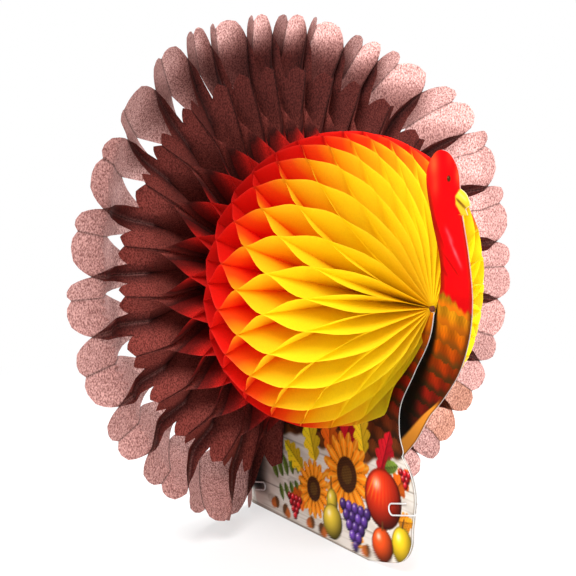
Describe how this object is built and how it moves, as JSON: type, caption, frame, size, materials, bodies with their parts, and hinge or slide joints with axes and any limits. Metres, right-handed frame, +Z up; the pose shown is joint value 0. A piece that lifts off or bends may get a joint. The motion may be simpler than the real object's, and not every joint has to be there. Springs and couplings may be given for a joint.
{
  "type": "thanksgiving turkey figure",
  "caption": "Fold-out tissue turkey for the table: a honeycomb body and two-row tail fan on a cord, closed by two printed cards held with paper clips.",
  "frame": {"origin": "on the table under the middle of the figure's bounding box", "axes": "+X the way the turkey faces, along the spine; +Z up; the near card is on the -Y side"},
  "size_m": [0.2286, 0.3006, 0.3052],
  "materials": {
    "tissue": "matte",
    "printed_card": "satin",
    "clip_wire": "gloss",
    "cord": "matte"
  },
  "bodies": {
    "near_card": {"near_card": "printed_card", "spine_cord": "cord"},
    "far_card": {"far_card": "printed_card"},
    "tissue_leaf_01": {"tissue_leaf_01": "tissue"},
    "tissue_leaf_02": {"tissue_leaf_02": "tissue"},
    "tissue_leaf_03": {"tissue_leaf_03": "tissue"},
    "tissue_leaf_04": {"tissue_leaf_04": "tissue"},
    "tissue_leaf_05": {"tissue_leaf_05": "tissue"},
    "tissue_leaf_06": {"tissue_leaf_06": "tissue"},
    "tissue_leaf_07": {"tissue_leaf_07": "tissue"},
    "tissue_leaf_08": {"tissue_leaf_08": "tissue"},
    "tissue_leaf_09": {"tissue_leaf_09": "tissue"},
    "tissue_leaf_10": {"tissue_leaf_10": "tissue"},
    "tissue_leaf_11": {"tissue_leaf_11": "tissue"},
    "tissue_leaf_12": {"tissue_leaf_12": "tissue"},
    "tissue_leaf_13": {"tissue_leaf_13": "tissue"},
    "tissue_leaf_14": {"tissue_leaf_14": "tissue"},
    "tissue_leaf_15": {"tissue_leaf_15": "tissue"},
    "tissue_leaf_16": {"tissue_leaf_16": "tissue"},
    "tissue_leaf_17": {"tissue_leaf_17": "tissue"},
    "tissue_leaf_18": {"tissue_leaf_18": "tissue"},
    "tissue_leaf_19": {"tissue_leaf_19": "tissue"},
    "tissue_leaf_20": {"tissue_leaf_20": "tissue"},
    "tissue_leaf_21": {"tissue_leaf_21": "tissue"},
    "tissue_leaf_22": {"tissue_leaf_22": "tissue"},
    "tissue_leaf_23": {"tissue_leaf_23": "tissue"},
    "tissue_leaf_24": {"tissue_leaf_24": "tissue"},
    "tissue_leaf_25": {"tissue_leaf_25": "tissue"},
    "tissue_leaf_26": {"tissue_leaf_26": "tissue"},
    "tissue_leaf_27": {"tissue_leaf_27": "tissue"},
    "tissue_leaf_28": {"tissue_leaf_28": "tissue"},
    "tissue_leaf_29": {"tissue_leaf_29": "tissue"},
    "tissue_leaf_30": {"tissue_leaf_30": "tissue"},
    "tissue_leaf_31": {"tissue_leaf_31": "tissue"},
    "tissue_leaf_32": {"tissue_leaf_32": "tissue"},
    "tissue_leaf_33": {"tissue_leaf_33": "tissue"},
    "tissue_leaf_34": {"tissue_leaf_34": "tissue"},
    "tissue_leaf_35": {"tissue_leaf_35": "tissue"},
    "tissue_leaf_36": {"tissue_leaf_36": "tissue"},
    "tissue_leaf_37": {"tissue_leaf_37": "tissue"},
    "tissue_leaf_38": {"tissue_leaf_38": "tissue"},
    "tissue_leaf_39": {"tissue_leaf_39": "tissue"},
    "tissue_leaf_40": {"tissue_leaf_40": "tissue"},
    "tissue_leaf_41": {"tissue_leaf_41": "tissue"},
    "tissue_leaf_42": {"tissue_leaf_42": "tissue"},
    "tissue_leaf_43": {"tissue_leaf_43": "tissue"},
    "tissue_leaf_44": {"tissue_leaf_44": "tissue"},
    "tissue_leaf_45": {"tissue_leaf_45": "tissue"},
    "tissue_leaf_46": {"tissue_leaf_46": "tissue"},
    "tissue_leaf_47": {"tissue_leaf_47": "tissue"},
    "tissue_leaf_48": {"tissue_leaf_48": "tissue"},
    "tissue_leaf_49": {"tissue_leaf_49": "tissue"},
    "tissue_leaf_50": {"tissue_leaf_50": "tissue"},
    "tissue_leaf_51": {"tissue_leaf_51": "tissue"},
    "tissue_leaf_52": {"tissue_leaf_52": "tissue"},
    "tissue_leaf_53": {"tissue_leaf_53": "tissue"},
    "tissue_leaf_54": {"tissue_leaf_54": "tissue"},
    "front_clip": {"front_clip": "clip_wire"},
    "rear_clip": {"rear_clip": "clip_wire"}
  },
  "joints": [
    {"name": "fold", "type": "hinge", "parent": "near_card", "child": "far_card", "pos_m": [0, 0, 0.1505], "axis": [1, 0, 0], "range_deg": [0, 350], "deforming": ["tissue_leaf_01", "tissue_leaf_02", "tissue_leaf_03", "tissue_leaf_04", "tissue_leaf_05", "tissue_leaf_06", "tissue_leaf_07", "tissue_leaf_08", "tissue_leaf_09", "tissue_leaf_10", "tissue_leaf_11", "tissue_leaf_12", "tissue_leaf_13", "tissue_leaf_14", "tissue_leaf_15", "tissue_leaf_16", "tissue_leaf_17", "tissue_leaf_18", "tissue_leaf_19", "tissue_leaf_20", "tissue_leaf_21", "tissue_leaf_22", "tissue_leaf_23", "tissue_leaf_24", "tissue_leaf_25", "tissue_leaf_26", "tissue_leaf_27", "tissue_leaf_28", "tissue_leaf_29", "tissue_leaf_30", "tissue_leaf_31", "tissue_leaf_32", "tissue_leaf_33", "tissue_leaf_34", "tissue_leaf_35", "tissue_leaf_36", "tissue_leaf_37", "tissue_leaf_38", "tissue_leaf_39", "tissue_leaf_40", "tissue_leaf_41", "tissue_leaf_42", "tissue_leaf_43", "tissue_leaf_44", "tissue_leaf_45", "tissue_leaf_46", "tissue_leaf_47", "tissue_leaf_48", "tissue_leaf_49", "tissue_leaf_50", "tissue_leaf_51", "tissue_leaf_52", "tissue_leaf_53", "tissue_leaf_54"]},
    {"name": "leaf_01_turn", "type": "hinge", "parent": "near_card", "child": "tissue_leaf_01", "pos_m": [0, 0, 0.1505], "axis": [1, 0, 0], "range_deg": [0, 3.06]},
    {"name": "leaf_02_turn", "type": "hinge", "parent": "near_card", "child": "tissue_leaf_02", "pos_m": [0, 0, 0.1505], "axis": [1, 0, 0], "range_deg": [0, 9.23]},
    {"name": "leaf_03_turn", "type": "hinge", "parent": "near_card", "child": "tissue_leaf_03", "pos_m": [0, 0, 0.1505], "axis": [1, 0, 0], "range_deg": [0, 15.52]},
    {"name": "leaf_04_turn", "type": "hinge", "parent": "near_card", "child": "tissue_leaf_04", "pos_m": [0, 0, 0.1505], "axis": [1, 0, 0], "range_deg": [0, 22.02]},
    {"name": "leaf_05_turn", "type": "hinge", "parent": "near_card", "child": "tissue_leaf_05", "pos_m": [0, 0, 0.1505], "axis": [1, 0, 0], "range_deg": [0, 28.77]},
    {"name": "leaf_06_turn", "type": "hinge", "parent": "near_card", "child": "tissue_leaf_06", "pos_m": [0, 0, 0.1505], "axis": [1, 0, 0], "range_deg": [0, 35.77]},
    {"name": "leaf_07_turn", "type": "hinge", "parent": "near_card", "child": "tissue_leaf_07", "pos_m": [0, 0, 0.1505], "axis": [1, 0, 0], "range_deg": [0, 43.02]},
    {"name": "leaf_08_turn", "type": "hinge", "parent": "near_card", "child": "tissue_leaf_08", "pos_m": [0, 0, 0.1505], "axis": [1, 0, 0], "range_deg": [0, 50.49]},
    {"name": "leaf_09_turn", "type": "hinge", "parent": "near_card", "child": "tissue_leaf_09", "pos_m": [0, 0, 0.1505], "axis": [1, 0, 0], "range_deg": [0, 58.12]},
    {"name": "leaf_10_turn", "type": "hinge", "parent": "near_card", "child": "tissue_leaf_10", "pos_m": [0, 0, 0.1505], "axis": [1, 0, 0], "range_deg": [0, 65.87]},
    {"name": "leaf_11_turn", "type": "hinge", "parent": "near_card", "child": "tissue_leaf_11", "pos_m": [0, 0, 0.1505], "axis": [1, 0, 0], "range_deg": [0, 73.69]},
    {"name": "leaf_12_turn", "type": "hinge", "parent": "near_card", "child": "tissue_leaf_12", "pos_m": [0, 0, 0.1505], "axis": [1, 0, 0], "range_deg": [0, 81.51]},
    {"name": "leaf_13_turn", "type": "hinge", "parent": "near_card", "child": "tissue_leaf_13", "pos_m": [0, 0, 0.1505], "axis": [1, 0, 0], "range_deg": [0, 89.3]},
    {"name": "leaf_14_turn", "type": "hinge", "parent": "near_card", "child": "tissue_leaf_14", "pos_m": [0, 0, 0.1505], "axis": [1, 0, 0], "range_deg": [0, 97]},
    {"name": "leaf_15_turn", "type": "hinge", "parent": "near_card", "child": "tissue_leaf_15", "pos_m": [0, 0, 0.1505], "axis": [1, 0, 0], "range_deg": [0, 104.57]},
    {"name": "leaf_16_turn", "type": "hinge", "parent": "near_card", "child": "tissue_leaf_16", "pos_m": [0, 0, 0.1505], "axis": [1, 0, 0], "range_deg": [0, 111.96]},
    {"name": "leaf_17_turn", "type": "hinge", "parent": "near_card", "child": "tissue_leaf_17", "pos_m": [0, 0, 0.1505], "axis": [1, 0, 0], "range_deg": [0, 119.12]},
    {"name": "leaf_18_turn", "type": "hinge", "parent": "near_card", "child": "tissue_leaf_18", "pos_m": [0, 0, 0.1505], "axis": [1, 0, 0], "range_deg": [0, 126.01]},
    {"name": "leaf_19_turn", "type": "hinge", "parent": "near_card", "child": "tissue_leaf_19", "pos_m": [0, 0, 0.1505], "axis": [1, 0, 0], "range_deg": [0, 132.59]},
    {"name": "leaf_20_turn", "type": "hinge", "parent": "near_card", "child": "tissue_leaf_20", "pos_m": [0, 0, 0.1505], "axis": [1, 0, 0], "range_deg": [0, 138.82]},
    {"name": "leaf_21_turn", "type": "hinge", "parent": "near_card", "child": "tissue_leaf_21", "pos_m": [0, 0, 0.1505], "axis": [1, 0, 0], "range_deg": [0, 144.69]},
    {"name": "leaf_22_turn", "type": "hinge", "parent": "near_card", "child": "tissue_leaf_22", "pos_m": [0, 0, 0.1505], "axis": [1, 0, 0], "range_deg": [0, 150.17]},
    {"name": "leaf_23_turn", "type": "hinge", "parent": "near_card", "child": "tissue_leaf_23", "pos_m": [0, 0, 0.1505], "axis": [1, 0, 0], "range_deg": [0, 155.29]},
    {"name": "leaf_24_turn", "type": "hinge", "parent": "near_card", "child": "tissue_leaf_24", "pos_m": [0, 0, 0.1505], "axis": [1, 0, 0], "range_deg": [0, 160.07]},
    {"name": "leaf_25_turn", "type": "hinge", "parent": "near_card", "child": "tissue_leaf_25", "pos_m": [0, 0, 0.1505], "axis": [1, 0, 0], "range_deg": [0, 164.56]},
    {"name": "leaf_26_turn", "type": "hinge", "parent": "near_card", "child": "tissue_leaf_26", "pos_m": [0, 0, 0.1505], "axis": [1, 0, 0], "range_deg": [0, 168.83]},
    {"name": "leaf_27_turn", "type": "hinge", "parent": "near_card", "child": "tissue_leaf_27", "pos_m": [0, 0, 0.1505], "axis": [1, 0, 0], "range_deg": [0, 172.96]},
    {"name": "leaf_28_turn", "type": "hinge", "parent": "near_card", "child": "tissue_leaf_28", "pos_m": [0, 0, 0.1505], "axis": [1, 0, 0], "range_deg": [0, 177.05]},
    {"name": "leaf_29_turn", "type": "hinge", "parent": "near_card", "child": "tissue_leaf_29", "pos_m": [0, 0, 0.1505], "axis": [1, 0, 0], "range_deg": [0, 181.18]},
    {"name": "leaf_30_turn", "type": "hinge", "parent": "near_card", "child": "tissue_leaf_30", "pos_m": [0, 0, 0.1505], "axis": [1, 0, 0], "range_deg": [0, 185.45]},
    {"name": "leaf_31_turn", "type": "hinge", "parent": "near_card", "child": "tissue_leaf_31", "pos_m": [0, 0, 0.1505], "axis": [1, 0, 0], "range_deg": [0, 189.94]},
    {"name": "leaf_32_turn", "type": "hinge", "parent": "near_card", "child": "tissue_leaf_32", "pos_m": [0, 0, 0.1505], "axis": [1, 0, 0], "range_deg": [0, 194.72]},
    {"name": "leaf_33_turn", "type": "hinge", "parent": "near_card", "child": "tissue_leaf_33", "pos_m": [0, 0, 0.1505], "axis": [1, 0, 0], "range_deg": [0, 199.84]},
    {"name": "leaf_34_turn", "type": "hinge", "parent": "near_card", "child": "tissue_leaf_34", "pos_m": [0, 0, 0.1505], "axis": [1, 0, 0], "range_deg": [0, 205.32]},
    {"name": "leaf_35_turn", "type": "hinge", "parent": "near_card", "child": "tissue_leaf_35", "pos_m": [0, 0, 0.1505], "axis": [1, 0, 0], "range_deg": [0, 211.19]},
    {"name": "leaf_36_turn", "type": "hinge", "parent": "near_card", "child": "tissue_leaf_36", "pos_m": [0, 0, 0.1505], "axis": [1, 0, 0], "range_deg": [0, 217.42]},
    {"name": "leaf_37_turn", "type": "hinge", "parent": "near_card", "child": "tissue_leaf_37", "pos_m": [0, 0, 0.1505], "axis": [1, 0, 0], "range_deg": [0, 224]},
    {"name": "leaf_38_turn", "type": "hinge", "parent": "near_card", "child": "tissue_leaf_38", "pos_m": [0, 0, 0.1505], "axis": [1, 0, 0], "range_deg": [0, 230.89]},
    {"name": "leaf_39_turn", "type": "hinge", "parent": "near_card", "child": "tissue_leaf_39", "pos_m": [0, 0, 0.1505], "axis": [1, 0, 0], "range_deg": [0, 238.05]},
    {"name": "leaf_40_turn", "type": "hinge", "parent": "near_card", "child": "tissue_leaf_40", "pos_m": [0, 0, 0.1505], "axis": [1, 0, 0], "range_deg": [0, 245.44]},
    {"name": "leaf_41_turn", "type": "hinge", "parent": "near_card", "child": "tissue_leaf_41", "pos_m": [0, 0, 0.1505], "axis": [1, 0, 0], "range_deg": [0, 253.01]},
    {"name": "leaf_42_turn", "type": "hinge", "parent": "near_card", "child": "tissue_leaf_42", "pos_m": [0, 0, 0.1505], "axis": [1, 0, 0], "range_deg": [0, 260.71]},
    {"name": "leaf_43_turn", "type": "hinge", "parent": "near_card", "child": "tissue_leaf_43", "pos_m": [0, 0, 0.1505], "axis": [1, 0, 0], "range_deg": [0, 268.5]},
    {"name": "leaf_44_turn", "type": "hinge", "parent": "near_card", "child": "tissue_leaf_44", "pos_m": [0, 0, 0.1505], "axis": [1, 0, 0], "range_deg": [0, 276.32]},
    {"name": "leaf_45_turn", "type": "hinge", "parent": "near_card", "child": "tissue_leaf_45", "pos_m": [0, 0, 0.1505], "axis": [1, 0, 0], "range_deg": [0, 284.13]},
    {"name": "leaf_46_turn", "type": "hinge", "parent": "near_card", "child": "tissue_leaf_46", "pos_m": [0, 0, 0.1505], "axis": [1, 0, 0], "range_deg": [0, 291.89]},
    {"name": "leaf_47_turn", "type": "hinge", "parent": "near_card", "child": "tissue_leaf_47", "pos_m": [0, 0, 0.1505], "axis": [1, 0, 0], "range_deg": [0, 299.52]},
    {"name": "leaf_48_turn", "type": "hinge", "parent": "near_card", "child": "tissue_leaf_48", "pos_m": [0, 0, 0.1505], "axis": [1, 0, 0], "range_deg": [0, 306.99]},
    {"name": "leaf_49_turn", "type": "hinge", "parent": "near_card", "child": "tissue_leaf_49", "pos_m": [0, 0, 0.1505], "axis": [1, 0, 0], "range_deg": [0, 314.24]},
    {"name": "leaf_50_turn", "type": "hinge", "parent": "near_card", "child": "tissue_leaf_50", "pos_m": [0, 0, 0.1505], "axis": [1, 0, 0], "range_deg": [0, 321.24]},
    {"name": "leaf_51_turn", "type": "hinge", "parent": "near_card", "child": "tissue_leaf_51", "pos_m": [0, 0, 0.1505], "axis": [1, 0, 0], "range_deg": [0, 327.99]},
    {"name": "leaf_52_turn", "type": "hinge", "parent": "near_card", "child": "tissue_leaf_52", "pos_m": [0, 0, 0.1505], "axis": [1, 0, 0], "range_deg": [0, 334.49]},
    {"name": "leaf_53_turn", "type": "hinge", "parent": "near_card", "child": "tissue_leaf_53", "pos_m": [0, 0, 0.1505], "axis": [1, 0, 0], "range_deg": [0, 340.78]},
    {"name": "leaf_54_turn", "type": "hinge", "parent": "near_card", "child": "tissue_leaf_54", "pos_m": [0, 0, 0.1505], "axis": [1, 0, 0], "range_deg": [0, 346.95]},
    {"name": "front_clip_slide", "type": "slide", "parent": "near_card", "child": "front_clip", "axis": [0.9703, 0, 0.2419], "range_m": [0, 0.028]},
    {"name": "rear_clip_slide", "type": "slide", "parent": "near_card", "child": "rear_clip", "axis": [-0.9781, 0, -0.2079], "range_m": [0, 0.028]}
  ],
  "couplings": [
    {"joint": "leaf_01_turn", "follows": "fold", "ratio": 0.00874},
    {"joint": "leaf_02_turn", "follows": "fold", "ratio": 0.02635},
    {"joint": "leaf_03_turn", "follows": "fold", "ratio": 0.04434},
    {"joint": "leaf_04_turn", "follows": "fold", "ratio": 0.06291},
    {"joint": "leaf_05_turn", "follows": "fold", "ratio": 0.08218},
    {"joint": "leaf_06_turn", "follows": "fold", "ratio": 0.10219},
    {"joint": "leaf_07_turn", "follows": "fold", "ratio": 0.12291},
    {"joint": "leaf_08_turn", "follows": "fold", "ratio": 0.14424},
    {"joint": "leaf_09_turn", "follows": "fold", "ratio": 0.16605},
    {"joint": "leaf_10_turn", "follows": "fold", "ratio": 0.1882},
    {"joint": "leaf_11_turn", "follows": "fold", "ratio": 0.21053},
    {"joint": "leaf_12_turn", "follows": "fold", "ratio": 0.23288},
    {"joint": "leaf_13_turn", "follows": "fold", "ratio": 0.25513},
    {"joint": "leaf_14_turn", "follows": "fold", "ratio": 0.27713},
    {"joint": "leaf_15_turn", "follows": "fold", "ratio": 0.29876},
    {"joint": "leaf_16_turn", "follows": "fold", "ratio": 0.31987},
    {"joint": "leaf_17_turn", "follows": "fold", "ratio": 0.34033},
    {"joint": "leaf_18_turn", "follows": "fold", "ratio": 0.36002},
    {"joint": "leaf_19_turn", "follows": "fold", "ratio": 0.37882},
    {"joint": "leaf_20_turn", "follows": "fold", "ratio": 0.39662},
    {"joint": "leaf_21_turn", "follows": "fold", "ratio": 0.41338},
    {"joint": "leaf_22_turn", "follows": "fold", "ratio": 0.42905},
    {"joint": "leaf_23_turn", "follows": "fold", "ratio": 0.44368},
    {"joint": "leaf_24_turn", "follows": "fold", "ratio": 0.45734},
    {"joint": "leaf_25_turn", "follows": "fold", "ratio": 0.47017},
    {"joint": "leaf_26_turn", "follows": "fold", "ratio": 0.48237},
    {"joint": "leaf_27_turn", "follows": "fold", "ratio": 0.49417},
    {"joint": "leaf_28_turn", "follows": "fold", "ratio": 0.50583},
    {"joint": "leaf_29_turn", "follows": "fold", "ratio": 0.51763},
    {"joint": "leaf_30_turn", "follows": "fold", "ratio": 0.52983},
    {"joint": "leaf_31_turn", "follows": "fold", "ratio": 0.54266},
    {"joint": "leaf_32_turn", "follows": "fold", "ratio": 0.55632},
    {"joint": "leaf_33_turn", "follows": "fold", "ratio": 0.57095},
    {"joint": "leaf_34_turn", "follows": "fold", "ratio": 0.58662},
    {"joint": "leaf_35_turn", "follows": "fold", "ratio": 0.60338},
    {"joint": "leaf_36_turn", "follows": "fold", "ratio": 0.62118},
    {"joint": "leaf_37_turn", "follows": "fold", "ratio": 0.63998},
    {"joint": "leaf_38_turn", "follows": "fold", "ratio": 0.65967},
    {"joint": "leaf_39_turn", "follows": "fold", "ratio": 0.68013},
    {"joint": "leaf_40_turn", "follows": "fold", "ratio": 0.70124},
    {"joint": "leaf_41_turn", "follows": "fold", "ratio": 0.72287},
    {"joint": "leaf_42_turn", "follows": "fold", "ratio": 0.74487},
    {"joint": "leaf_43_turn", "follows": "fold", "ratio": 0.76712},
    {"joint": "leaf_44_turn", "follows": "fold", "ratio": 0.78947},
    {"joint": "leaf_45_turn", "follows": "fold", "ratio": 0.8118},
    {"joint": "leaf_46_turn", "follows": "fold", "ratio": 0.83395},
    {"joint": "leaf_47_turn", "follows": "fold", "ratio": 0.85576},
    {"joint": "leaf_48_turn", "follows": "fold", "ratio": 0.87709},
    {"joint": "leaf_49_turn", "follows": "fold", "ratio": 0.89781},
    {"joint": "leaf_50_turn", "follows": "fold", "ratio": 0.91782},
    {"joint": "leaf_51_turn", "follows": "fold", "ratio": 0.93709},
    {"joint": "leaf_52_turn", "follows": "fold", "ratio": 0.95566},
    {"joint": "leaf_53_turn", "follows": "fold", "ratio": 0.97365},
    {"joint": "leaf_54_turn", "follows": "fold", "ratio": 0.99126}
  ]
}
